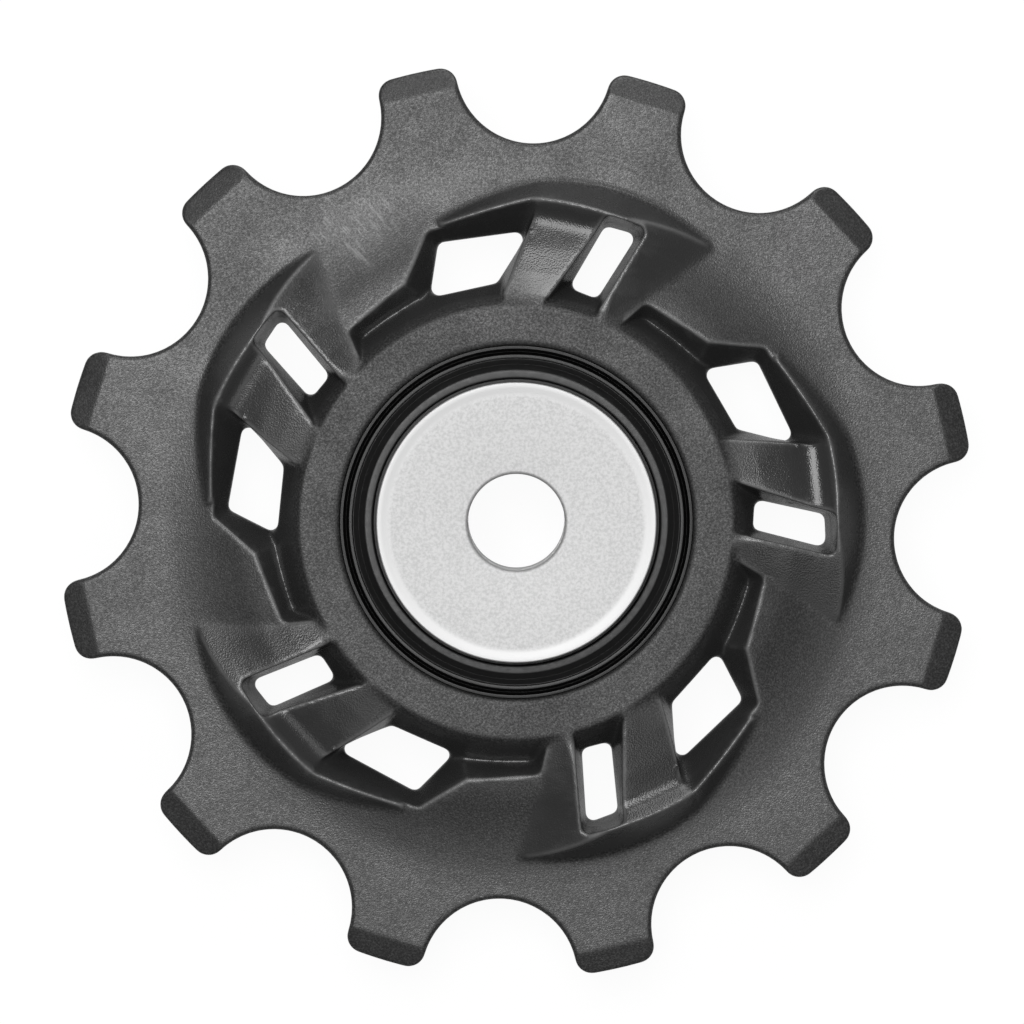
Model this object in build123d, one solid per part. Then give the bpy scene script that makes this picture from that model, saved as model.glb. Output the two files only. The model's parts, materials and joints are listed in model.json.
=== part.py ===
from build123d import *
import os
from math import cos, pi, radians, sin, tan

# Derailleur jockey wheel, millimetres. The axle runs along Z through the origin, which lies in the middle
# of the wheel's width. One slot of the web points along +X.

# Chain and teeth
chain_pitch = 12.7
tooth_count = 12
tooth_phase = 13.2
roller_seat_radius = 4.2
tip_rise = 0.17
tip_corner_radius = 0.9
ring_half_width = 1.05
tooth_edge_break = 0.15
tip_bevel_length = 1.25
tip_bevel_depth = 0.5

# Hub
hub_half_width = 3.0
hub_wall = 2.17
hub_lean = 31.6
seat_chamfer = 0.15

# Web: five like sectors between the hub and the ring, each drawn with its slot along +Y. A place in a sector
# is the degrees left of the slot's line and the share of the way from the hub's rim to the land's edge.
arm_count = 5
hole_half_depth = 0.3
hole_corner_radius = 0.4

# Land: a cone that thickens the web from the ring to the hub, with a soft start at the ring
land_outer_radius = 18.5
land_slope = 14.7
land_blend_radius = 9.0

# Raised arm, from the hub out to a crescent shoulder
tail_end = (34.8, 0.77)
tail_middle = (23.6, 0.888)
shoulder_bend = (14.5, 0.99)
shoulder_top = (-0.6, 1.026)
arm_tip = (-21.6, 0.922)
valley_foot = (-15.1, 0.309)
root_right = (-20.4, -0.2)
root_left = (26.5, -0.15)
shoulder_lean = 36.4

# Faces of the arm: each falls from a place at a slope, towards a direction counted from +X
crest_place = (-0.7, 0.81)
right_fall_slope = 19.1
right_fall_direction = 8.8
left_start = (11.5, 0.0)
left_fall_slope = 14.0
left_fall_direction = 130.0
crest_fall_slope = 35.6
crest_fall_direction = 265.2
crest_root_radius = 1.2
crest_end = (16.1, 0.846)

# Slot through the arm, window beside it and groove along the hub: corners at the foot and at the hub's level,
# from the outer left one round by the hub
slot_foot = [(1.6, 0.72), (5.6, 0.176), (-1.6, 0.154), (-4.6, 0.74)]
slot_rim = [(2.1, 0.811), (12.3, -0.03), (-2.0, -0.068), (-6.2, 0.839)]
window_foot = [(34.0, 0.569), (39.5, 0.179), (23.0, 0.173), (15.6, 0.585)]
window_rim = [(36.8, 0.802), (57.5, 0.062), (22.8, -0.025), (13.0, 0.951)]
groove_foot = [(-13.7, 0.181), (-12.5, -0.014), (-33.7, 0.033), (-33.0, 0.237)]
groove_rim = [(-11.4, 0.345), (-8.1, -0.038), (-35.4, -0.039), (-32.0, 0.501)]
groove_floor = 0.9

# Cartridge bearing
bearing_outer_radius = 9.5
bearing_bore_radius = 5.0
bearing_half_width = 2.5
race_chamfer = 0.06
race_rim = 0.72
race_groove_width = 0.32
race_groove_depth = 0.3
ball_count = 11
ball_radius = 1.19
ball_circle_radius = 7.25
ball_play = 0.05
groove_depth = 0.44

# Cage
cage_side_play = 0.3
cage_end_play = 0.1
cage_front = 0.55
finger_wall = 0.45
finger_root = 0.1

# Seals
seal_recess = 0.06
seal_thickness = 0.69
seal_lip_play = 0.1
seal_lip_drop = 0.3
seal_groove_depth = 0.45
bead_gap = 0.18
bead_width = 0.47

# Caps and sleeve
cap_radius = 7.5
cap_thickness = 1.6
cap_rim_radius = 0.15
cap_edge_break = 0.15
axle_bore_radius = 2.6
spigot_length = 1.0
spigot_clearance = 0.02
bore_chamfer = 0.2

# Sizes that follow
pitch_radius = chain_pitch / (2 * sin(pi / tooth_count))
tip_radius = pitch_radius + tip_rise
hub_outer_radius = bearing_outer_radius + hub_wall
hub_foot_radius = hub_outer_radius + hub_half_width * tan(radians(hub_lean))
ball_gap_radius = ball_radius + ball_play
inner_shoulder_radius = ball_circle_radius - ball_gap_radius + groove_depth
outer_shoulder_radius = ball_circle_radius + ball_gap_radius - groove_depth
seal_seat_radius = bearing_outer_radius - race_rim
seal_face = bearing_half_width - seal_recess
seal_foot = seal_face - seal_thickness
bead_inner_radius = cap_radius + bead_gap
bead_outer_radius = bead_inner_radius + bead_width
cage_back = seal_foot - cage_end_play


def around(count, phase=0.0):
    """Turns about the axle for a pattern of evenly spaced copies."""
    return [Rot(Z=phase + 360 / count * k) for k in range(count)]


def ring_of(profile):
    """Turns a profile drawn as radius and height once round the axle."""
    return revolve(Plane.XZ * make_face(Polyline(*profile, close=True)), Axis.Z)


def spot(place):
    """Point of a sector at a place given as turn and share."""
    turn, share = place
    radius = hub_outer_radius + share * (land_outer_radius - hub_outer_radius)
    return Vector(-radius * sin(radians(turn)), radius * cos(radians(turn)))


def under(solid, place, slope, direction):
    """Keeps what lies under a plane that falls from a place at the hub's level at a slope."""
    steep = tan(radians(slope))
    upward = (steep * cos(radians(direction)), steep * sin(radians(direction)), 1)
    return split(solid, Plane(origin=spot(place) + (0, 0, hub_half_width), z_dir=upward), keep=Keep.BOTTOM)


def rounded(corners):
    """Face with its corners at the given places, each rounded."""
    flat = make_face(Polyline(*map(spot, corners), close=True))
    return fillet(flat.vertices(), hole_corner_radius)


def leaning_hole(foot, rim, depth):
    """Hole whose walls lean outwards from its foot to its rim at the hub's level."""
    return loft([Pos(Z=depth) * rounded(foot), Pos(Z=hub_half_width) * rounded(rim)], ruled=True)


def toothed_ring():
    """Flat toothed disc: roller seats cut from a round blank, tips rounded and bevelled on both faces."""
    seats = [turn * Pos(X=pitch_radius) * Circle(roller_seat_radius)
             for turn in around(tooth_count, tooth_phase + 180 / tooth_count)]
    outline = Circle(tip_radius) - seats
    outline = fillet(outline.vertices(), tip_corner_radius)
    disc = extrude(outline, ring_half_width, both=True)
    faces = disc.faces().filter_by(Axis.Z)
    disc = chamfer(faces.edges(), tooth_edge_break)
    bevel = Polyline(
        (tip_radius - tip_bevel_length, ring_half_width),
        (tip_radius, ring_half_width - tip_bevel_depth),
        (tip_radius + tip_bevel_length, ring_half_width - tip_bevel_depth),
        (tip_radius + tip_bevel_length, 2 * ring_half_width),
        (tip_radius - tip_bevel_length, 2 * ring_half_width),
        close=True,
    )
    cut = extrude(Plane.XZ * make_face(bevel), roller_seat_radius, both=True)
    cuts = [turn * side for turn in around(tooth_count, tooth_phase) for side in (cut, mirror(cut, Plane.XY))]
    return disc - cuts


def upright(start, end):
    """Upright plane through two points of a sector, its normal to the right of the way between them."""
    along = end - start
    return Plane(origin=start, x_dir=along, z_dir=(along.Y, -along.X, 0))


def arm():
    """Raised arm: leaning shoulders all round, a roof that falls away beside the slot, and a tail."""
    edge = [
        Polyline(*map(spot, (tail_end, root_left, root_right, valley_foot, arm_tip))),
        ThreePointArc(*map(spot, (arm_tip, shoulder_top, shoulder_bend))),
        ThreePointArc(*map(spot, (shoulder_bend, tail_middle, tail_end))),
    ]
    height = hub_half_width - ring_half_width
    block = extrude(Pos(Z=ring_half_width) * make_face(edge), height, taper=shoulder_lean)
    outer_left, hub_left, hub_right, outer_right = map(spot, slot_foot)
    slot_plane = upright((hub_left + hub_right) / 2, (outer_left + outer_right) / 2)
    right, left = (split(block, slot_plane, keep=side) for side in (Keep.TOP, Keep.BOTTOM))
    right = under(right, crest_place, right_fall_slope, right_fall_direction)
    flank = under(left, left_start, left_fall_slope, left_fall_direction)
    crest = under(left, crest_place, crest_fall_slope, crest_fall_direction)
    roof = flank + crest
    roof = fillet(new_edges(flank, crest, combined=roof), crest_root_radius)
    window_left, window_right = spot(window_foot[0]), spot(window_foot[3])
    tail = split(left, upright(window_left, window_right), keep=Keep.BOTTOM)
    tail = split(tail, upright(window_right, spot(crest_end)), keep=Keep.BOTTOM)
    return right + roof + tail


def land():
    """Cone from the ring up to the hub, with a soft start at the ring."""
    slope = radians(land_slope)
    blend = land_blend_radius * tan(slope / 2)
    inner_height = ring_half_width + (land_outer_radius - hub_outer_radius) * tan(slope)
    start = (land_outer_radius + blend, ring_half_width)
    end = (land_outer_radius - blend * cos(slope), ring_half_width + blend * sin(slope))
    profile = [
        RadiusArc(start, end, land_blend_radius),
        Polyline(end, (hub_outer_radius, inner_height), (hub_outer_radius, 0), (start[0], 0), start),
    ]
    return revolve(Plane.XZ * make_face(profile), Axis.Z)


def raised_web():
    """Front half of the web before it is cut: the land and five arms."""
    return land() + [turn * arm() for turn in around(arm_count, -90)]


def web_cutters():
    """What the front of the web loses: slots, windows and grooves."""
    cutters = [
        leaning_hole(slot_foot, slot_rim, hole_half_depth),
        leaning_hole(window_foot, window_rim, hole_half_depth),
        leaning_hole(groove_foot, groove_rim, groove_floor),
    ]
    return [turn * cutter for turn in around(arm_count, -90) for cutter in cutters]


def hub():
    """Front half of the hub, with its leaning wall and the chamfered bearing seat."""
    return ring_of([
        (bearing_outer_radius, 0),
        (hub_foot_radius, 0),
        (hub_outer_radius, hub_half_width),
        (bearing_outer_radius + seat_chamfer, hub_half_width),
        (bearing_outer_radius, hub_half_width - seat_chamfer),
    ])


def both_faces(solids):
    """The given front solids and their mirror images on the back."""
    return [*solids, *(mirror(solid, Plane.XY) for solid in solids)]


def pulley_wheel():
    """The moulded wheel: toothed ring, web and hub, alike on both faces, with the holes right through."""
    holes = [
        turn * extrude(rounded(corners), hub_half_width, both=True)
        for turn in around(arm_count, -90)
        for corners in (slot_foot, window_foot)
    ]
    seat = Cylinder(bearing_outer_radius, 2 * hub_half_width)
    plate = toothed_ring() + both_faces([raised_web()]) - both_faces(web_cutters())
    return plate + both_faces([hub()]) - holes - seat


def ball_track():
    """Round channel that the balls run in, with play all round."""
    return Torus(ball_circle_radius, ball_gap_radius)


def bearing_outer_race():
    """Outer ring with a track inside, and at each end a step for a seal and a groove round the face."""
    middle = (seal_seat_radius + bearing_outer_radius) / 2
    end = [
        (outer_shoulder_radius, seal_foot),
        (seal_seat_radius, seal_foot),
        (seal_seat_radius, bearing_half_width - race_chamfer),
        (seal_seat_radius + race_chamfer, bearing_half_width),
        (middle - race_groove_width / 2, bearing_half_width),
        (middle, bearing_half_width - race_groove_depth),
        (middle + race_groove_width / 2, bearing_half_width),
        (bearing_outer_radius - race_chamfer, bearing_half_width),
        (bearing_outer_radius, bearing_half_width - race_chamfer),
    ]
    return ring_of(end + [(radius, -height) for radius, height in reversed(end)]) - ball_track()


def bearing_inner_race():
    """Inner ring with a track outside and chamfered corners."""
    end = [
        (inner_shoulder_radius, bearing_half_width - race_chamfer),
        (inner_shoulder_radius - race_chamfer, bearing_half_width),
        (bearing_bore_radius + race_chamfer, bearing_half_width),
        (bearing_bore_radius, bearing_half_width - race_chamfer),
    ]
    return ring_of(end + [(radius, -height) for radius, height in reversed(end)]) - ball_track()


def balls():
    """The bearing balls, one in each pocket of the cage."""
    return [turn * Pos(X=ball_circle_radius) * Sphere(ball_radius) for turn in around(ball_count)]


def ball_cage():
    """Crown cage: a ring on one side of the balls with pairs of fingers that reach past their middles."""
    inner = inner_shoulder_radius + cage_side_play
    outer = outer_shoulder_radius - cage_side_play
    crown = ring_of([(inner, -cage_back), (outer, -cage_back), (outer, cage_front), (inner, cage_front)])
    pockets = [turn * Pos(X=ball_circle_radius) * Sphere(ball_gap_radius) for turn in around(ball_count)]
    pitch = 2 * ball_circle_radius * sin(pi / ball_count)
    space = pitch - 2 * (ball_gap_radius + finger_wall)
    height = cage_front - finger_root
    gap = Pos(X=ball_circle_radius, Z=finger_root + height) * Box(ball_radius * 2, space, 2 * height)
    return crown - pockets - [turn * gap for turn in around(ball_count, 180 / ball_count)]


def seal():
    """Front seal: a rubber ring with a groove inside its edge, a flat bead and a low lip under the cap."""
    inner = inner_shoulder_radius + seal_lip_play
    lip_face = seal_face - seal_lip_drop
    return ring_of([
        (inner, seal_foot),
        (seal_seat_radius, seal_foot),
        (seal_seat_radius, seal_face),
        ((seal_seat_radius + bead_outer_radius) / 2, seal_face - seal_groove_depth),
        (bead_outer_radius, seal_face),
        (bead_inner_radius, seal_face),
        (bead_inner_radius, lip_face),
        (inner, lip_face),
    ])


def cap():
    """Front cap: a disc with a rounded rim, a spigot into the inner race and the bolt's bore."""
    face = bearing_half_width + cap_thickness
    disc = Pos(Z=bearing_half_width) * extrude(Circle(cap_radius), cap_thickness)
    disc = fillet(disc.edges().sort_by(Axis.Z)[-1], cap_rim_radius)
    disc = chamfer(disc.edges().sort_by(Axis.Z)[0], cap_edge_break)
    spigot_foot = bearing_half_width - spigot_length
    disc += Pos(Z=spigot_foot) * extrude(Circle(bearing_bore_radius - spigot_clearance), spigot_length)
    bore = ring_of([
        (0, spigot_foot),
        (axle_bore_radius, spigot_foot),
        (axle_bore_radius, face - bore_chamfer),
        (axle_bore_radius + bore_chamfer, face),
        (0, face),
    ])
    return disc - bore


def axle_sleeve():
    """Plain sleeve inside the inner race, between the two spigots."""
    half = bearing_half_width - spigot_length
    outer = bearing_bore_radius - spigot_clearance
    return ring_of([(axle_bore_radius, -half), (outer, -half), (outer, half), (axle_bore_radius, half)])


def parts():
    """Every piece by its name."""
    pieces = {
        "pulley_wheel": pulley_wheel(),
        "bearing_outer_race": bearing_outer_race(),
        "bearing_inner_race": bearing_inner_race(),
        "ball_cage": ball_cage(),
        "front_seal": seal(),
        "rear_seal": mirror(seal(), Plane.XY),
        "front_cap": cap(),
        "rear_cap": mirror(cap(), Plane.XY),
        "axle_sleeve": axle_sleeve(),
    }
    for number, ball in enumerate(balls(), start=1):
        pieces[f"ball_{number:02d}"] = ball
    return pieces


if __name__ == "__main__":
    os.makedirs("parts", exist_ok=True)
    for name, piece in parts().items():
        export_step(piece, f"parts/{name}.step")
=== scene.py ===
import json
import math

import bmesh
import bpy
import numpy as np
from bpy.props import FloatProperty, FloatVectorProperty, IntProperty, PointerProperty, StringProperty
from mathutils import Matrix, Vector


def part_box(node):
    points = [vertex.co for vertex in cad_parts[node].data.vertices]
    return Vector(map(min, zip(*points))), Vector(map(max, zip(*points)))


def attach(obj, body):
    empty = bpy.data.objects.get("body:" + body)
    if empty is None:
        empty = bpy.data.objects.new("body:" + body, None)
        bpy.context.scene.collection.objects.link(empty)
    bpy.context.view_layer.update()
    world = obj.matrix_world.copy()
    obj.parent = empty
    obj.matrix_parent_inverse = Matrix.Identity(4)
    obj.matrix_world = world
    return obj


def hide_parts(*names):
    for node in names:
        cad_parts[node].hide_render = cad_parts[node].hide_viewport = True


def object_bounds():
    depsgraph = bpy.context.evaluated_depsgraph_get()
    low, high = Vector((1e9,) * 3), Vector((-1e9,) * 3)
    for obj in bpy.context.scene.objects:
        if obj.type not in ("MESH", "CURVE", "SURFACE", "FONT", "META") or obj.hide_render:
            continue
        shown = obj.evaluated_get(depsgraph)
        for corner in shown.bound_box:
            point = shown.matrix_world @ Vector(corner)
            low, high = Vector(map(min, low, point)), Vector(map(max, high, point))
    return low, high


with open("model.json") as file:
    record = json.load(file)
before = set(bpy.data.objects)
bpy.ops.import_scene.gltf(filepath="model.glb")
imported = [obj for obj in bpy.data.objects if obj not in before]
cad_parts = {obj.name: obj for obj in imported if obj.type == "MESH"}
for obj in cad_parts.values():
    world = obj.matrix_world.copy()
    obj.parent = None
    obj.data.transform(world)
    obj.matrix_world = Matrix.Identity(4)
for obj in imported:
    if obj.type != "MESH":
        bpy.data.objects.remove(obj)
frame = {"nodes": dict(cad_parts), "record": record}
cad_box = [list(corner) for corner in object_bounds()]

bl_info = {
    "name": "Derailleur jockey wheel",
    "version": (1, 0, 0),
    "blender": (4, 5, 0),
    "location": "View3D > Sidebar > Jockey wheel",
    "description": "Dresses a toothed guide wheel: moulded nylon, sealed bearing, metal caps, pale stage",
    "category": "Object",
}

MM = 0.001
WHITE = (1, 1, 1, 1)
BALLS = sorted(name for name in frame["nodes"] if name.startswith("ball_") and name != "ball_cage")

# Both faces of the wheel's solid have a cone from the hub outwards, with a round blend into the flat ring
CONE_TILT = math.radians(14.7)
BLEND_RADIUS = 9 * MM
BLEND_END = 19.66 * MM
RING_FACE = 1.05 * MM

# Inner and outer radius of the web, and of each stretch of the longer curve that the mould gives it
WEB_RADII = (12.2 * MM, 20.2 * MM)
WEB_STEPS = 801
CURVE_RADII = (15 * MM, 19.7 * MM)
CURVE_POWER = 1.35
MEETING_RADII = (14.6 * MM, 15.2 * MM)
FADING_RADII = (12.2 * MM, 13.4 * MM)

FLOOR_GAP = 0.02 * MM
FLOOR_REACH = 3.0


def linear(code):
    """Linear RGBA of an sRGB hex colour."""
    srgb = np.array([int(code[k:k + 2], 16) for k in (1, 3, 5)]) / 255
    rgb = np.where(srgb <= 0.04045, srgb / 12.92, ((srgb + 0.055) / 1.055) ** 2.4)
    return (*rgb, 1.0)


def per_mm(size):
    """Noise texture scale whose pattern repeats about every size millimetres."""
    return 1 / (size * MM)


def waves_per_mm(size):
    """Wave texture scale whose rings lie about size millimetres apart.

    The texture has 20 / tau rings in a unit, which is about pi."""
    return per_mm(size) / math.pi


# Settings that a user would change


class WheelSettings(bpy.types.PropertyGroup):
    """Moulded wheel."""
    base: StringProperty(name="Nylon", description="sRGB colour of the moulded nylon", default="#121212")
    pale: StringProperty(name="Fibre", description="sRGB colour of fibre at the skin", default="#5b5b5b")
    # Paler paint of the crests and the ring's scuffs: wear, with a painted highlight on the crests and a
    # painted sheen round the scuffs
    worn_and_highlit: StringProperty(name="Worn", description="sRGB colour of rubbed crests and scuffs",
                         default="#7c7c7c")
    grain: FloatProperty(name="Grain", description="Size of the mould's texture",
                         default=0.08 * MM, unit="LENGTH")
    speck: FloatProperty(name="Speck", description="Size of the glossy and dull specks",
                         default=0.11 * MM, unit="LENGTH")
    cell: FloatProperty(name="Cell", description="Size of the cubes that the skin is drawn from",
                        default=0.07 * MM, unit="LENGTH")
    passes: IntProperty(name="Passes", description="Smoothing passes that round every edge",
                        default=10, min=1)
    steepest: FloatProperty(name="Steepest", description="Steepest tilt of the web's curve",
                            default=math.radians(20.5), subtype="ANGLE")
    web_limit: FloatProperty(name="Web limit", description="Radius of the last rubbed crests and inserts",
                             default=18.3 * MM, unit="LENGTH")
    bend: FloatProperty(name="Bend", description="Radius under which a hollow is eased",
                        default=1.25 * MM, unit="LENGTH")
    spread: IntProperty(name="Spread", description="Steps from a hollow or a crest that change with it",
                        default=3, min=1)
    eases: IntProperty(name="Eases", description="Smoothing passes in the hollows", default=12, min=1)
    kept: FloatProperty(name="Kept", description="Share of the skin's triangles that is kept",
                        default=0.093, subtype="FACTOR", min=0.01, max=1.0)


class CapSettings(bpy.types.PropertyGroup):
    """Metal caps on both faces and the sleeve between them."""
    metal: StringProperty(name="Face", description="sRGB colour of the blasted caps", default="#cacaca")
    pit: StringProperty(name="Pits", description="sRGB colour in the blasting's pits", default="#bababa")
    rubbed: StringProperty(name="Worn rim", description="sRGB colour of the rubbed rim", default="#c7c7c7")
    sleeve: StringProperty(name="Sleeve", description="sRGB colour of the sleeve", default="#c9c9c9")
    rim: FloatProperty(name="Rim", description="Radius of the cap's outer edge",
                       default=0.08 * MM, unit="LENGTH")
    dish: FloatProperty(name="Dish", description="How far the cap's face lies under its rim",
                        default=0.06 * MM, unit="LENGTH")
    bore_edge: FloatProperty(name="Bore edge", description="Radius of the bore's edge",
                             default=0.2 * MM, unit="LENGTH")
    bright: FloatProperty(name="Bright rim", description="Radius where the rubbed rim starts",
                          default=6.9 * MM, unit="LENGTH")
    grit: FloatProperty(name="Grit", description="Size of the blasting marks",
                        default=0.16 * MM, unit="LENGTH")
    steps: IntProperty(name="Steps", description="Steps round the axle", default=288, min=48)


class BearingSettings(bpy.types.PropertyGroup):
    """Cartridge bearing."""
    # The races are painted dark: painted shade for the dark reflection and shadow in their faces and
    # grooves
    steel: StringProperty(name="Race", description="sRGB colour of the races", default="#303030")
    ball: StringProperty(name="Ball", description="sRGB colour of the polished balls", default="#c9cacb")
    rubber: StringProperty(name="Seal", description="sRGB colour of the seals", default="#0e0e0e")
    dust: StringProperty(name="Dust", description="sRGB colour of dust on the seals", default="#333333")
    cage: StringProperty(name="Cage", description="sRGB colour of the cage", default="#cbbf9d")
    cloud: StringProperty(name="Clouds", description="sRGB colour of clouds in the cage", default="#e2d8bb")
    shoulder: FloatProperty(name="Shoulder", description="Radius of the outer race's shoulder",
                            default=8.05 * MM, unit="LENGTH")
    track: FloatProperty(name="Track", description="Radius of the ball track's round",
                         default=1.24 * MM, unit="LENGTH")
    circle: FloatProperty(name="Ball circle", description="Radius of the balls' circle",
                          default=7.25 * MM, unit="LENGTH")
    groove: FloatProperty(name="Race groove", description="Half the width of the race's groove",
                          default=0.16 * MM, unit="LENGTH")
    groove_depth: FloatProperty(name="Race groove depth", description="Depth of the race's groove",
                                default=0.3 * MM, unit="LENGTH")
    corner: FloatProperty(name="Corner", description="Radius of the race's corners",
                          default=0.06 * MM, unit="LENGTH")
    lip: FloatProperty(name="Lip", description="Inner radius of the seal",
                       default=6.55 * MM, unit="LENGTH")
    lip_drop: FloatProperty(name="Lip drop", description="How far the lip lies under the bead",
                            default=0.3 * MM, unit="LENGTH")
    bead_in: FloatProperty(name="Bead inside", description="Inner radius of the bead",
                           default=7.68 * MM, unit="LENGTH")
    bead_out: FloatProperty(name="Bead outside", description="Outer radius of the bead",
                            default=8.15 * MM, unit="LENGTH")
    bead_edge: FloatProperty(name="Bead edge", description="Radius of the bead's edges",
                             default=0.14 * MM, unit="LENGTH")
    seal_depth: FloatProperty(name="Seal groove", description="Depth of the groove in the seal",
                              default=0.45 * MM, unit="LENGTH")


class StageSettings(bpy.types.PropertyGroup):
    """Floor, lamps and camera."""
    floor: StringProperty(name="Floor", description="sRGB colour of the floor", default="#a8a8a8")
    top: FloatProperty(name="Top lamp", description="Power of the soft lamp above",
                       default=1.63, unit="POWER")
    top_place: FloatVectorProperty(name="Top place", description="Where the lamp above hangs",
                                   default=(-0.05, 0.095, 0.42), subtype="TRANSLATION", unit="LENGTH")
    top_size: FloatProperty(name="Top size", description="Side of the lamp above",
                            default=0.26, unit="LENGTH")
    front: FloatProperty(name="Front lamp", description="Power of the weak lamp in front",
                         default=0.2, unit="POWER")
    front_place: FloatVectorProperty(name="Front place", description="Where the lamp in front hangs",
                                     default=(0.09, -0.19, 0.4), subtype="TRANSLATION", unit="LENGTH")
    front_size: FloatProperty(name="Front size", description="Side of the lamp in front",
                              default=0.2, unit="LENGTH")
    back: FloatProperty(name="Back lamp", description="Power of the soft lamp behind",
                        default=1.3, unit="POWER")
    back_place: FloatVectorProperty(name="Back place", description="Where the lamp behind hangs",
                                    default=(0.05, 0.52, 0.24), subtype="TRANSLATION", unit="LENGTH")
    back_size: FloatProperty(name="Back size", description="Side of the lamp behind",
                             default=0.34, unit="LENGTH")
    room: FloatProperty(name="Room", description="Strength of the light from all round", default=0.2)
    width: FloatProperty(name="View width", description="Width of the view at the ring",
                         default=55.05 * MM, unit="LENGTH")
    shift_x: FloatProperty(name="View X", description="Middle of the view along X",
                           default=-0.237 * MM, unit="LENGTH")
    shift_y: FloatProperty(name="View Y", description="Middle of the view along Y",
                           default=0.505 * MM, unit="LENGTH")
    distance: FloatProperty(name="Distance", description="From the camera to the wheel",
                            default=0.6, unit="LENGTH")
    lean: FloatProperty(name="Lean", description="Camera's lean from straight above",
                        default=math.radians(1.2), subtype="ANGLE")
    turn: FloatProperty(name="Turn", description="Camera's turn about the axle",
                        default=math.radians(0.34), subtype="ANGLE")


# Surfaces


def rounded(corners, steps=6):
    """Closed outline through corners (r, z, radius), each replaced by an arc that touches both its sides.

    With unit vectors u and v to the neighbours and half the corner's angle h, the arc's centre lies at
    radius / sin h along u + v, and the arc turns evenly from one touching point to the other. A corner
    with no radius stays one point."""
    data = np.array(corners, float)
    point, radius = data[:, :2], data[:, 2:]
    u = np.roll(point, 1, axis=0) - point
    v = np.roll(point, -1, axis=0) - point
    u /= np.linalg.norm(u, axis=1, keepdims=True)
    v /= np.linalg.norm(v, axis=1, keepdims=True)
    half = np.arccos(np.sum(u * v, axis=1, keepdims=True)) / 2
    middle = (u + v) / np.linalg.norm(u + v, axis=1, keepdims=True)
    centre = point + middle * radius / np.sin(half)
    start = (point + u * radius / np.tan(half) - centre)[:, None]
    end = (point + v * radius / np.tan(half) - centre)[:, None]
    sweep = (np.pi - 2 * half)[:, None]
    k = np.linspace(0, 1, steps)[None, :, None]
    arc = (np.sin((1 - k) * sweep) * start + np.sin(k * sweep) * end) / np.sin(sweep)
    outline = (centre[:, None] + arc).reshape(-1, 2)
    apart = np.linalg.norm(outline - np.roll(outline, 1, axis=0), axis=1) > 1e-6 * MM
    return outline[apart]


def lathe(name, outline, steps):
    """Mesh of an outline (r, z) carried once round the axle: at angle a it is (r cos a, r sin a, z).

    The outline runs anticlockwise, so every quad, first round the axle and then along the outline, faces
    outwards."""
    angle = np.linspace(0, 2 * np.pi, steps, endpoint=False)
    r, z = outline.T
    x, y = np.outer(np.cos(angle), r), np.outer(np.sin(angle), r)
    grid = np.stack([x, y, np.tile(z, (steps, 1))], axis=-1)
    row, column = np.indices(grid.shape[:2])
    after, beside = (row + 1) % steps, (column + 1) % len(r)
    quads = np.stack([row * len(r) + column, after * len(r) + column,
                      after * len(r) + beside, row * len(r) + beside], axis=-1).reshape(-1, 4)
    mesh = bpy.data.meshes.new(name)
    mesh.vertices.add(grid.size // 3)
    mesh.vertices.foreach_set("co", grid.ravel())
    mesh.loops.add(quads.size)
    mesh.loops.foreach_set("vertex_index", quads.ravel())
    mesh.polygons.add(len(quads))
    mesh.polygons.foreach_set("loop_start", np.arange(0, quads.size, 4))
    mesh.polygons.foreach_set("use_smooth", np.ones(len(quads), bool))
    mesh.update(calc_edges=True)
    return mesh


def flipped(outline):
    """The outline mirrored to the other face of the wheel, still anticlockwise."""
    return outline[::-1] * (1, -1)


def through(mesh, kind, **settings):
    """The mesh that one modifier makes of a mesh."""
    holder = bpy.data.objects.new(mesh.name, mesh)
    bpy.context.scene.collection.objects.link(holder)
    modifier = holder.modifiers.new(kind, kind)
    for name, value in settings.items():
        setattr(modifier, name, value)
    graph = bpy.context.evaluated_depsgraph_get()
    made = bpy.data.meshes.new_from_object(holder.evaluated_get(graph))
    bpy.data.objects.remove(holder)
    return made


def ramp(values, start, end):
    """Share of the way from start to end: 0 up to start and 1 from end on."""
    return np.clip((values - start) / (end - start), 0, 1)


def web(look):
    """Radii, the height of the mould's long even curve over the solid's cone, and the curve's own height.

    The cone's tilt is the arcsine of the way in from its blend's end over the blend's radius, up to the
    cone's own tilt. The curve's tilt falls from its steepest by a power of the way out. Heights are sums
    of the tilts' tangents from the outside in. Near the hub the curve's tilt goes over into the cone's,
    and the extra height fades out."""
    r = np.linspace(*WEB_RADII, WEB_STEPS)
    step = r[1] - r[0]
    cone = np.tan(np.arcsin(np.clip((BLEND_END - r) / BLEND_RADIUS, 0, math.sin(CONE_TILT))))
    curve = np.tan(look.steepest * (1 - ramp(r, *CURVE_RADII) ** CURVE_POWER))
    more = (curve - cone) * ramp(r, *MEETING_RADII)
    extra = np.cumsum(more[::-1])[::-1] * step * ramp(r, *FADING_RADII)
    return r, extra, RING_FACE + np.cumsum(cone[::-1])[::-1] * step + extra


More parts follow.
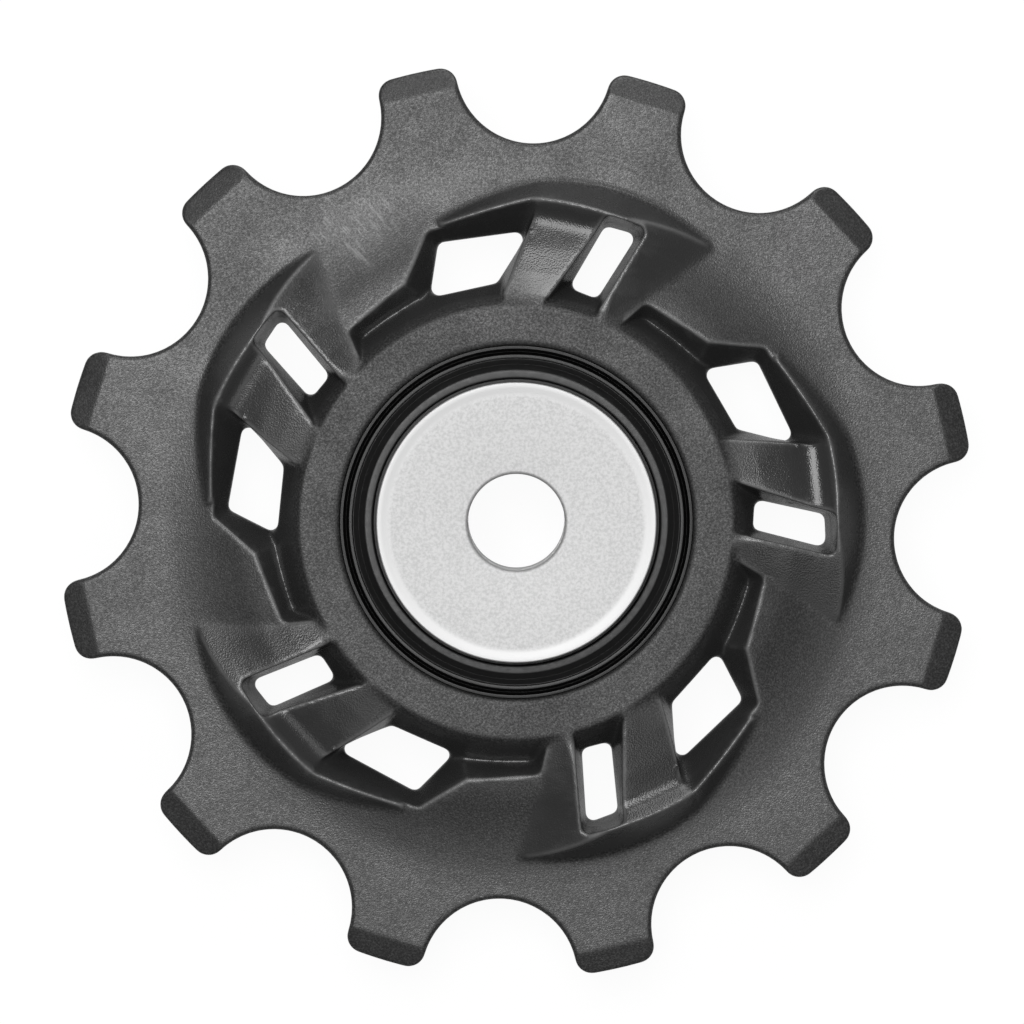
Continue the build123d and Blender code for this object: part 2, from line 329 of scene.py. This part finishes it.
def ease(mesh, look):
    """Rounds a fine skin as a mould does: a little at every edge, and more in the hollows of its faces.

    First the web's curve is laid over the cone, in full from a set height over the middle plane. A pass
    moves each point a share of the way to the middle of its neighbours. How far that middle lies outside
    the skin, over a quarter of the cell's square, is the skin's bend, given as a share of the bend at which
    a hollow is eased. Points with a sharp hollow bend that face along the axle, and the points a few steps
    round them, go on for many more passes, with a share that fades out at the border; crests stay as they
    are. The crests of the web are kept as "rubbed", which has them painted paler: partly wear, partly a
    painted highlight along their rounded edges. All that stands over or lies under the web's curve is kept
    as "insert"."""
    # Height over the middle plane from which the web's curve counts in full
    full_height = 0.8 * MM
    # Share of the way that a pass moves a point
    pass_share = 0.5
    # Share of the normal along the axle where a hollow starts, and the least to which it spreads
    facing, leaning = 0.5, 0.35
    # Width over which crests and inserts fade out at the web's limit
    limit_fade = 0.3 * MM
    # Crest bends from unpainted to fully painted paler, as wear and painted highlight, and what makes up
    # for their spreading
    crest_bends = (1.5, 3.5)
    crest_paint_gain = 1.1
    # Distances from the web's curve at which the skin goes over into an insert
    insert_heights = (0.05 * MM, 0.15 * MM)

    count = len(mesh.vertices)
    point, normal = np.empty((2, count * 3))
    pair = np.empty(len(mesh.edges) * 2, int)
    mesh.vertices.foreach_get("co", point)
    mesh.edges.foreach_get("vertices", pair)
    start, end = np.concatenate([pair.reshape(-1, 2), pair.reshape(-1, 2)[:, ::-1]]).T
    degree = np.bincount(start, minlength=count)

    def middle(values):
        """Mean of each column over a point's neighbours."""
        return np.stack([np.bincount(start, column[end], count) / degree for column in values.T], axis=1)

    point = point.reshape(-1, 3)
    r, extra, height = web(look)
    radius = np.hypot(point[:, 0], point[:, 1])
    point[:, 2] += np.clip(point[:, 2] / full_height, -1, 1) * np.interp(radius, r, extra, 0, 0)
    for _ in range(look.passes):
        point += pass_share * (middle(point) - point)
    mesh.vertices.foreach_set("co", point.ravel())
    mesh.update()
    mesh.vertex_normals.foreach_get("vector", normal)
    up = np.abs(normal[2::3])
    outside = np.sum((middle(point) - point) * normal.reshape(-1, 3), axis=1)
    bend = outside * 4 / look.cell ** 2 * look.bend
    share = (bend > 1) & (up > facing)
    for _ in range(look.spread):
        share |= np.bincount(start, share[end], count) > 0
    share = (share & (up > leaning) & (bend > -1)).astype(float)[:, None]
    for _ in range(look.spread):
        share = middle(share)
    for _ in range(look.eases):
        point += pass_share * share * (middle(point) - point)
    mesh.vertices.foreach_set("co", point.ravel())
    mesh.update()
    inside = (1 - ramp(radius, look.web_limit - limit_fade, look.web_limit)) * (radius > r[0])
    # Crests of the web painted paler: partly wear, partly a painted highlight along their rounded edges
    rubbed = (ramp(-bend, *crest_bends) * inside)[:, None]
    for _ in range(look.spread):
        rubbed = middle(rubbed)
    mesh.attributes.new("rubbed", "FLOAT", "POINT").data.foreach_set("value", crest_paint_gain * rubbed.ravel())
    apart = np.abs(np.abs(point[:, 2]) - np.interp(radius, r, height))
    insert = middle((ramp(apart, *insert_heights) * inside)[:, None])
    mesh.attributes.new("insert", "FLOAT", "POINT").data.foreach_set("value", insert.ravel())


def piece(mesh, material, body, node):
    """Puts a mesh in the scene as a piece that stands for a CAD node and moves with its body."""
    mesh.materials.clear()
    mesh.materials.append(material)
    shown = bpy.data.objects.new(mesh.name, mesh)
    bpy.context.scene.collection.objects.link(shown)
    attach(shown, body)
    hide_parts(node)


def dress(name, material):
    """Gives a CAD node its finished material."""
    for slot in frame["nodes"][name].material_slots:
        slot.link = "OBJECT"
        slot.material = material


def radius_and_heights(node):
    """Largest radius, lowest and highest point of a CAD node."""
    low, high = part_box(node)
    return high.x, low.z, high.z


# Materials


def add(tree, kind, settings=None, inputs=None):
    """Adds a node, gives it its settings, and sets or links each input by its name or number."""
    node = tree.nodes.new(kind)
    for name, value in (settings or {}).items():
        setattr(node, name, value)
    for name, value in (inputs or {}).items():
        if isinstance(value, bpy.types.NodeSocket):
            tree.links.new(value, node.inputs[name])
        else:
            node.inputs[name].default_value = value
    return node


def blank(name, **constants):
    """New material with its node tree, its shader and the Object coordinates.

    Constants go straight on the shader's sockets."""
    material = bpy.data.materials.new(name)
    material.use_nodes = True
    tree = material.node_tree
    shader = tree.nodes["Principled BSDF"]
    for socket, value in constants.items():
        shader.inputs[socket.replace("_", " ")].default_value = value
    place = add(tree, "ShaderNodeTexCoord").outputs["Object"]
    return material, tree, shader, place


def from_axle(tree, place):
    """Distance from the axle: the length of the place without its height."""
    across = add(tree, "ShaderNodeVectorMath", {"operation": "MULTIPLY"},
                 {0: place, 1: (1, 1, 0)}).outputs["Vector"]
    return add(tree, "ShaderNodeVectorMath", {"operation": "LENGTH"}, {0: across}).outputs["Value"]


def nylon(look):
    """Glass-filled nylon, moulded in a spark-eroded tool with smoother inserts for the arms and pockets.

    The eye sees a near-black skin with a soft sheen, a sand-like grain and glossy pale flecks of fibre.
    The inserts' faces are shinier and calmer. The web's crests are painted paler, partly as wear and partly
    as a painted highlight along their rounded edges. The ring has pale streaks round one place: scuffs,
    with a painted patch of sheen. Real fibres are about 0.01 mm thick: flecks and grain are drawn coarser
    so that they show."""
    hub_dullness, ring_dullness, insert_dullness = 0.54, 0.415, 0.265
    hub_edge = (11.6 * MM, 12.6 * MM)
    scuff_and_sheen_place = (-8.8 * MM, 15.8 * MM, 1.2 * MM)
    scuff_and_sheen_reach = (0.6 * MM, 2.8 * MM)
    scuff_turn = math.radians(-48)
    scuff_size = (1.6 * MM, 0.24 * MM, 2.5 * MM)

    material, tree, shader, place = blank("nylon_glass_filled_moulded", IOR=1.53)
    grain = add(tree, "ShaderNodeTexNoise", None,
                {"Vector": place, "Scale": 1 / look.grain, "Detail": 0.0}).outputs["Fac"]
    speck = add(tree, "ShaderNodeTexNoise", None,
                {"Vector": place, "Scale": 1 / look.speck,
                 "Detail": 2.0, "Roughness": 0.7}).outputs["Fac"]
    cloud = add(tree, "ShaderNodeTexNoise", None,
                {"Vector": place, "Scale": per_mm(3.5),
                 "Detail": 4.0, "Roughness": 0.6}).outputs["Fac"]

    # Flecks are pale where the skin is glossy, and on the inserts they give way to an even tone
    insert = add(tree, "ShaderNodeAttribute", {"attribute_name": "insert"}).outputs["Fac"]
    strength = add(tree, "ShaderNodeMapRange", None,
                   {"Value": insert, "From Max": 0.5, "To Min": 0.56, "To Max": 0.12}).outputs["Result"]
    least = add(tree, "ShaderNodeMapRange", None,
                {"Value": insert, "From Max": 0.5, "To Max": 0.14}).outputs["Result"]
    fleck = add(tree, "ShaderNodeMapRange", None,
                {"Value": speck, "From Min": 0.58, "From Max": 0.2,
                 "To Min": least, "To Max": strength}).outputs["Result"]
    skin = add(tree, "ShaderNodeMix", {"data_type": "RGBA"},
               {0: fleck, 6: linear(look.base), 7: linear(look.pale)}).outputs[2]

    # Scuff streaks with a painted patch of sheen round one place of the ring; the clouds break up the
    # crests' paler paint of wear and painted highlight
    along = add(tree, "ShaderNodeMapping", {"vector_type": "TEXTURE"},
                {"Vector": place, "Rotation": (0, 0, scuff_turn), "Scale": scuff_size}).outputs["Vector"]
    streak = add(tree, "ShaderNodeTexNoise", None,
                 {"Vector": along, "Scale": 1.0, "Detail": 2.0}).outputs["Fac"]
    line = add(tree, "ShaderNodeMapRange", None,
               {"Value": streak, "From Min": 0.55, "From Max": 0.7, "To Min": 0.15}).outputs["Result"]
    away = add(tree, "ShaderNodeVectorMath", {"operation": "DISTANCE"},
               {0: place, 1: scuff_and_sheen_place}).outputs["Value"]
    near = add(tree, "ShaderNodeMapRange", None,
               {"Value": away, "From Min": scuff_and_sheen_reach[0], "From Max": scuff_and_sheen_reach[1],
                "To Min": 0.9, "To Max": 0.0}).outputs["Result"]
    # Scuffs and painted sheen: paler streaks that fade out round one place of the ring
    scuffs_and_sheen = add(tree, "ShaderNodeMath", {"operation": "MULTIPLY"}, {0: line, 1: near}).outputs["Value"]
    # Crests painted paler: partly wear, partly a painted highlight along the rounded edges
    crest = add(tree, "ShaderNodeAttribute", {"attribute_name": "rubbed"}).outputs["Fac"]
    crest_wear_and_highlight = add(tree, "ShaderNodeMath", {"operation": "MULTIPLY"}, {0: crest, 1: cloud}).outputs["Value"]
    wear_and_painted_light = add(tree, "ShaderNodeMath", {"operation": "MAXIMUM"}, {0: scuffs_and_sheen, 1: crest_wear_and_highlight}).outputs["Value"]
    colour = add(tree, "ShaderNodeMix", {"data_type": "RGBA"},
                 {0: wear_and_painted_light, 6: skin, 7: linear(look.worn_and_highlit)}).outputs[2]

    # The hub is duller than the ring, the inserts are smoother, and clouds and specks vary them all
    dull = add(tree, "ShaderNodeMapRange", None,
               {"Value": from_axle(tree, place), "From Min": hub_edge[0], "From Max": hub_edge[1],
                "To Min": hub_dullness, "To Max": ring_dullness}).outputs["Result"]
    finish = add(tree, "ShaderNodeMix", {"data_type": "FLOAT"},
                 {0: insert, 2: dull, 3: insert_dullness}).outputs[0]
    cloudy = add(tree, "ShaderNodeMapRange", None,
                 {"Value": cloud, "To Min": -0.18, "To Max": 0.18}).outputs["Result"]
    patch = add(tree, "ShaderNodeMath", {"operation": "ADD"}, {0: cloudy, 1: finish}).outputs["Value"]
    either = add(tree, "ShaderNodeMath", {"operation": "SUBTRACT"}, {0: speck, 1: 0.5}).outputs["Value"]
    level = add(tree, "ShaderNodeMath", {"operation": "MULTIPLY_ADD"},
                {0: either, 1: strength, 2: patch}).outputs["Value"]
    bump = add(tree, "ShaderNodeBump", None,
               {"Strength": 0.5, "Distance": 0.02 * MM, "Height": grain}).outputs["Normal"]
    tree.links.new(colour, shader.inputs["Base Color"])
    tree.links.new(level, shader.inputs["Roughness"])
    tree.links.new(bump, shader.inputs["Normal"])
    return material


def blasted_aluminium(look):
    """Aluminium, turned, bead-blasted and clear anodised.

    The eye sees a pale matt face with a fine grey mottle, and a rim that rubbing has made smoother and
    brighter. Real blasting marks are under 0.1 mm wide: they are drawn coarser so that they show."""
    rim_fade = (look.bright - 0.2 * MM, look.bright + 0.1 * MM)

    material, tree, shader, place = blank("aluminium_bead_blasted", Metallic=1.0)
    pits = add(tree, "ShaderNodeTexNoise", None,
               {"Vector": place, "Scale": 1 / look.grit,
                "Detail": 2.0, "Roughness": 0.8}).outputs["Fac"]
    shade = add(tree, "ShaderNodeMapRange", None,
                {"Value": pits, "From Min": 0.35, "From Max": 0.6}).outputs["Result"]
    face = add(tree, "ShaderNodeMix", {"data_type": "RGBA"},
               {0: shade, 6: linear(look.pit), 7: linear(look.metal)}).outputs[2]
    outer = add(tree, "ShaderNodeMapRange", None,
                {"Value": from_axle(tree, place),
                 "From Min": rim_fade[0], "From Max": rim_fade[1]}).outputs["Result"]
    colour = add(tree, "ShaderNodeMix", {"data_type": "RGBA"},
                 {0: outer, 6: face, 7: linear(look.rubbed)}).outputs[2]
    gloss = add(tree, "ShaderNodeMapRange", None,
                {"Value": outer, "To Min": 0.7, "To Max": 0.63}).outputs["Result"]
    bump = add(tree, "ShaderNodeBump", None,
               {"Strength": 0.2, "Distance": 0.02 * MM, "Height": pits}).outputs["Normal"]
    tree.links.new(colour, shader.inputs["Base Color"])
    tree.links.new(gloss, shader.inputs["Roughness"])
    tree.links.new(bump, shader.inputs["Normal"])
    return material


def turned_aluminium(look):
    """Aluminium, turned on a lathe: fine rings along the axle that spread the highlight.

    Real turning marks are about 0.1 mm apart; they are drawn 0.4 mm apart so that they show."""
    material, tree, shader, place = blank("aluminium_turned", Metallic=1.0, Roughness=0.32)
    shader.inputs["Base Color"].default_value = linear(look.sleeve)
    rings = add(tree, "ShaderNodeTexWave", {"bands_direction": "Z"},
                {"Vector": place, "Scale": waves_per_mm(0.4),
                 "Distortion": 0.6, "Detail": 1.0}).outputs["Fac"]
    bump = add(tree, "ShaderNodeBump", None,
               {"Strength": 0.3, "Distance": 0.01 * MM, "Height": rings}).outputs["Normal"]
    tree.links.new(bump, shader.inputs["Normal"])
    return material


def steel_painted_dark(look):
    """Bearing steel, hardened and ground: silky, with fine rings round the axle, and drawn dark as painted
    shade that stands for the dark reflection and shadow in the races' faces and grooves.

    Real grinding marks are a few microns apart; they are drawn 0.2 mm apart so that they show."""
    material, tree, shader, place = blank("bearing_steel_painted_dark", Metallic=1.0)
    shader.inputs["Base Color"].default_value = linear(look.steel)
    rings = add(tree, "ShaderNodeTexWave", {"wave_type": "RINGS", "rings_direction": "Z"},
                {"Vector": place, "Scale": waves_per_mm(0.2),
                 "Distortion": 1.5, "Detail": 2.0}).outputs["Fac"]
    gloss = add(tree, "ShaderNodeMapRange", None,
                {"Value": rings, "To Min": 0.36, "To Max": 0.46}).outputs["Result"]
    tree.links.new(gloss, shader.inputs["Roughness"])
    return material


def polished_steel(look):
    """Chrome steel, lapped and polished: mirror-bright with faint smears of grease."""
    material, tree, shader, place = blank("chrome_steel_polished", Metallic=1.0)
    shader.inputs["Base Color"].default_value = linear(look.ball)
    smear = add(tree, "ShaderNodeTexNoise", None,
                {"Vector": place, "Scale": per_mm(1.2), "Detail": 3.0}).outputs["Fac"]
    gloss = add(tree, "ShaderNodeMapRange", None,
                {"Value": smear, "From Min": 0.3, "From Max": 0.7,
                 "To Min": 0.05, "To Max": 0.16}).outputs["Result"]
    tree.links.new(gloss, shader.inputs["Roughness"])
    return material


def nitrile(look):
    """Nitrile rubber, compression moulded: deep black and silky, with dust in a fine grain."""
    material, tree, shader, place = blank("nitrile_rubber_moulded", IOR=1.52)
    grain = add(tree, "ShaderNodeTexNoise", None,
                {"Vector": place, "Scale": per_mm(0.3), "Detail": 3.0}).outputs["Fac"]
    dust = add(tree, "ShaderNodeMapRange", None,
               {"Value": grain, "From Min": 0.6, "From Max": 0.9, "To Max": 0.3}).outputs["Result"]
    colour = add(tree, "ShaderNodeMix", {"data_type": "RGBA"},
                 {0: dust, 6: linear(look.rubber), 7: linear(look.dust)}).outputs[2]
    gloss = add(tree, "ShaderNodeMapRange", None,
                {"Value": grain, "From Min": 0.3, "From Max": 0.7,
                 "To Min": 0.4, "To Max": 0.5}).outputs["Result"]
    bump = add(tree, "ShaderNodeBump", None,
               {"Strength": 0.15, "Distance": 0.02 * MM, "Height": grain}).outputs["Normal"]
    tree.links.new(colour, shader.inputs["Base Color"])
    tree.links.new(gloss, shader.inputs["Roughness"])
    tree.links.new(bump, shader.inputs["Normal"])
    return material


def natural_nylon(look):
    """Unfilled nylon, injection moulded: ivory, waxy and slightly cloudy."""
    material, tree, shader, place = blank("nylon_natural_moulded", IOR=1.53, Subsurface_Weight=0.15)
    shader.inputs["Subsurface Radius"].default_value = (0.8 * MM, 0.6 * MM, 0.4 * MM)
    cloud = add(tree, "ShaderNodeTexNoise", None,
                {"Vector": place, "Scale": per_mm(1.5), "Detail": 3.0}).outputs["Fac"]
    colour = add(tree, "ShaderNodeMix", {"data_type": "RGBA"},
                 {0: cloud, 6: linear(look.cage), 7: linear(look.cloud)}).outputs[2]
    gloss = add(tree, "ShaderNodeMapRange", None,
                {"Value": cloud, "To Min": 0.4, "To Max": 0.55}).outputs["Result"]
    tree.links.new(colour, shader.inputs["Base Color"])
    tree.links.new(gloss, shader.inputs["Roughness"])
    return material


def white_floor(look):
    """Matt paper, pale grey in itself, so that it throws little light up at the wheel.

    The eye sees white paper, directly or through glass, that the wheel's shadow still dims a little. What
    mirrors the floor sees a patch under the wheel that glows though no lamp lights it: a painted reflection
    that brightens the walls of the holes."""
    # Share and strength of the glow that the camera sees; the rest of the paper's own shade has the shadow
    white_share, white_glow = 0.85, 1.11
    # Share of the glow in the patch that mirrors see, a painted reflection, and the radii between which it
    # fades out
    patch_share = 0.3
    patch_edge = (18 * MM, 22 * MM)

    material, tree, shader, place = blank("paper_matt", Roughness=0.9)
    shader.inputs["Base Color"].default_value = linear(look.floor)
    rays = add(tree, "ShaderNodeLightPath")
    seen = add(tree, "ShaderNodeMath", {"operation": "MAXIMUM"},
               {0: rays.outputs["Is Camera Ray"],
                1: rays.outputs["Is Transmission Ray"]}).outputs["Value"]
    away = add(tree, "ShaderNodeVectorMath", {"operation": "LENGTH"}, {0: place}).outputs["Value"]
    under = add(tree, "ShaderNodeMapRange", None,
                {"Value": away, "From Min": patch_edge[0], "From Max": patch_edge[1],
                 "To Min": patch_share, "To Max": 0.0}).outputs["Result"]
    mirrored = add(tree, "ShaderNodeMath", {"operation": "MULTIPLY"},
                   {0: rays.outputs["Is Glossy Ray"], 1: under}).outputs["Value"]
    share = add(tree, "ShaderNodeMath", {"operation": "MULTIPLY_ADD"},
                {0: seen, 1: white_share, 2: mirrored}).outputs["Value"]
    glow = add(tree, "ShaderNodeEmission", None,
               {"Color": WHITE, "Strength": white_glow}).outputs["Emission"]
    mixed = add(tree, "ShaderNodeMixShader", None,
                {0: share, 1: shader.outputs["BSDF"], 2: glow}).outputs["Shader"]
    tree.links.new(mixed, tree.nodes["Material Output"].inputs["Surface"])
    return material


# Operators


class JOCKEY_OT_wheel(bpy.types.Operator):
    """Draws the moulded wheel's skin with rounded edges, eased hollows and the web's long curve"""
    bl_idname = "jockey.wheel"
    bl_label = "Moulded wheel"

    def execute(self, context):
        look = context.scene.jockey_wheel
        join_distance = 0.001 * MM
        mesh = frame["nodes"]["pulley_wheel"].data.copy()
        work = bmesh.new()
        work.from_mesh(mesh)
        bmesh.ops.remove_doubles(work, verts=work.verts, dist=join_distance)
        work.to_mesh(mesh)
        work.free()
        # The cubes are cut in millimetres, where their size is no tiny number
        mesh.transform(Matrix.Scale(1 / MM, 4))
        skin = through(mesh, "REMESH", mode="VOXEL", voxel_size=look.cell / MM)
        skin.transform(Matrix.Scale(MM, 4))
        ease(skin, look)
        drawn = through(skin, "DECIMATE", ratio=look.kept)
        drawn.shade_smooth()
        drawn = through(drawn, "WEIGHTED_NORMAL", mode="FACE_AREA")
        drawn.name = "moulded_wheel"
        piece(drawn, nylon(look), "wheel", "pulley_wheel")
        return {"FINISHED"}


class JOCKEY_OT_caps(bpy.types.Operator):
    """Turns the two metal caps and finishes the sleeve between them"""
    bl_idname = "jockey.caps"
    bl_label = "Caps and sleeve"

    def execute(self, context):
        look = context.scene.jockey_caps
        radius, foot, face = radius_and_heights("front_cap")
        spigot, _, _ = radius_and_heights("axle_sleeve")
        _, _, seat = radius_and_heights("bearing_inner_race")
        bore = frame["record"]["mounts"][0]["dims"]["r_mm"] * MM
        dished = face - look.dish
        # Radius of small corners, width of the slope up to the rim, and radius of its soft ends
        fine = 0.08 * MM
        slope = 0.4 * MM
        soft = 1.5 * MM
        outline = rounded([
            (bore, foot, fine), (spigot, foot, fine), (spigot, seat, fine), (radius, seat, 2 * fine),
            (radius, face, look.rim), (look.bright + slope, face, soft), (look.bright, dished, soft),
            (bore, dished, look.bore_edge),
        ], steps=10)
        metal = blasted_aluminium(look)
        piece(lathe("cap_front", outline, look.steps), metal, "axle", "front_cap")
        piece(lathe("cap_rear", flipped(outline), look.steps), metal, "axle", "rear_cap")
        dress("axle_sleeve", turned_aluminium(look))
        return {"FINISHED"}


class JOCKEY_OT_bearing(bpy.types.Operator):
    """Turns the outer race and the seals, and finishes the pieces inside the bearing"""
    bl_idname = "jockey.bearing"
    bl_label = "Bearing"

    def execute(self, context):
        look = context.scene.jockey_bearing
        steps = context.scene.jockey_caps.steps
        radius, _, face = radius_and_heights("bearing_outer_race")
        seat, foot, top = radius_and_heights("front_seal")
        # Radius of small corners, radius of the grooves' bottoms, and points along the ball track
        fine = 0.03 * MM
        sharp = 0.008 * MM
        track_steps = 40
        middle = (seat + radius) / 2
        front = [
            (radius, face, look.corner), (middle + look.groove, face, fine),
            (middle, face - look.groove_depth, sharp), (middle - look.groove, face, fine),
            (seat, face, look.corner), (seat, foot, fine), (look.shoulder, foot, fine),
        ]
        reach = math.acos((look.shoulder - look.circle) / look.track)
        track = [(look.circle + look.track * math.cos(turn), look.track * math.sin(turn), 0.0)
                 for turn in np.linspace(reach, -reach, track_steps)]
        back = [(r, -z, corner) for r, z, corner in reversed(front)]
        # Races painted dark, as shade for their faces' dark reflection
        steel = steel_painted_dark(look)
        piece(lathe("race_outer", rounded(front + track + back), steps), steel,
              "wheel", "bearing_outer_race")
        rubber = nitrile(look)
        lip_face = top - look.lip_drop
        outline = rounded([
            (look.lip, foot, fine), (seat, foot, fine), (seat, top, fine),
            ((seat + look.bead_out) / 2, top - look.seal_depth, sharp),
            (look.bead_out, top, look.bead_edge), (look.bead_in, top, look.bead_edge),
            (look.bead_in, lip_face, fine), (look.lip, lip_face, fine),
        ])
        piece(lathe("seal_front", outline, steps), rubber, "wheel", "front_seal")
        piece(lathe("seal_rear", flipped(outline), steps), rubber, "wheel", "rear_seal")
        dress("bearing_inner_race", steel)
        dress("ball_cage", natural_nylon(look))
        polished = polished_steel(look)
        for name in BALLS:
            dress(name, polished)
        return {"FINISHED"}


class JOCKEY_OT_stage(bpy.types.Operator):
    """Lays the floor and sets the lamps and the camera"""
    bl_idname = "jockey.stage"
    bl_label = "Stage"

    def execute(self, context):
        look = context.scene.jockey_stage
        scene = context.scene
        scene.view_settings.view_transform = "Standard"
        ground = cad_box[0][2] - FLOOR_GAP
        sides = [(-1, -1), (1, -1), (1, 1), (-1, 1)]
        corners = [(x * FLOOR_REACH, y * FLOOR_REACH, ground) for x, y in sides]
        mesh = bpy.data.meshes.new("floor")
        mesh.from_pydata(corners, [], [(0, 1, 2, 3)])
        mesh.materials.append(white_floor(look))
        floor = bpy.data.objects.new("floor", mesh)
        scene.collection.objects.link(floor)
        self.lamp("softbox_top", look.top_place, look.top_size, look.top)
        self.lamp("softbox_front", look.front_place, look.front_size, look.front)
        self.lamp("softbox_back", look.back_place, look.back_size, look.back)
        world = bpy.data.worlds.new("studio")
        world.use_nodes = True
        light = world.node_tree.nodes["Background"].inputs
        light["Color"].default_value = WHITE
        light["Strength"].default_value = look.room
        scene.world = world
        data = bpy.data.cameras.new("camera")
        data.lens = data.sensor_width * look.distance / look.width
        data.clip_start = 0.01
        data.clip_end = 10.0
        camera = bpy.data.objects.new("camera", data)
        target = Vector((look.shift_x, look.shift_y, RING_FACE))
        view = Matrix.Rotation(look.turn, 3, "Z") @ Matrix.Rotation(-look.lean, 3, "X")
        camera.location = target + view @ Vector((0, 0, look.distance))
        camera.rotation_euler = view.to_euler()
        scene.collection.objects.link(camera)
        scene.camera = camera
        return {"FINISHED"}

    def lamp(self, name, place, size, power):
        """Square soft lamp that points at the wheel."""
        data = bpy.data.lights.new(name, "AREA")
        data.size = size
        data.energy = power
        lamp = bpy.data.objects.new(name, data)
        lamp.location = place
        lamp.rotation_euler = (-Vector(place)).to_track_quat("-Z", "Y").to_euler()
        bpy.context.scene.collection.objects.link(lamp)


class JOCKEY_PT_panel(bpy.types.Panel):
    """Sidebar list of the pieces and their settings"""
    bl_idname = "JOCKEY_PT_panel"
    bl_label = "Jockey wheel"
    bl_space_type = "VIEW_3D"
    bl_region_type = "UI"
    bl_category = "Jockey wheel"

    def draw(self, context):
        for operator, group in STEPS:
            box = self.layout.box()
            box.operator(operator.bl_idname)
            settings = getattr(context.scene, group)
            for name in settings.__annotations__:
                box.prop(settings, name)


STEPS = [
    (JOCKEY_OT_wheel, "jockey_wheel"),
    (JOCKEY_OT_caps, "jockey_caps"),
    (JOCKEY_OT_bearing, "jockey_bearing"),
    (JOCKEY_OT_stage, "jockey_stage"),
]
GROUPS = {
    "jockey_wheel": WheelSettings,
    "jockey_caps": CapSettings,
    "jockey_bearing": BearingSettings,
    "jockey_stage": StageSettings,
}


def register():
    for name, group in GROUPS.items():
        bpy.utils.register_class(group)
        setattr(bpy.types.Scene, name, PointerProperty(type=group))
    for operator, _ in STEPS:
        bpy.utils.register_class(operator)
    bpy.utils.register_class(JOCKEY_PT_panel)


def unregister():
    bpy.utils.unregister_class(JOCKEY_PT_panel)
    for operator, _ in STEPS:
        bpy.utils.unregister_class(operator)
    for name, group in GROUPS.items():
        delattr(bpy.types.Scene, name)
        bpy.utils.unregister_class(group)


def main():
    register()
    bpy.ops.jockey.wheel()
    bpy.ops.jockey.caps()
    bpy.ops.jockey.bearing()
    bpy.ops.jockey.stage()


if __name__ == "__main__":
    main()
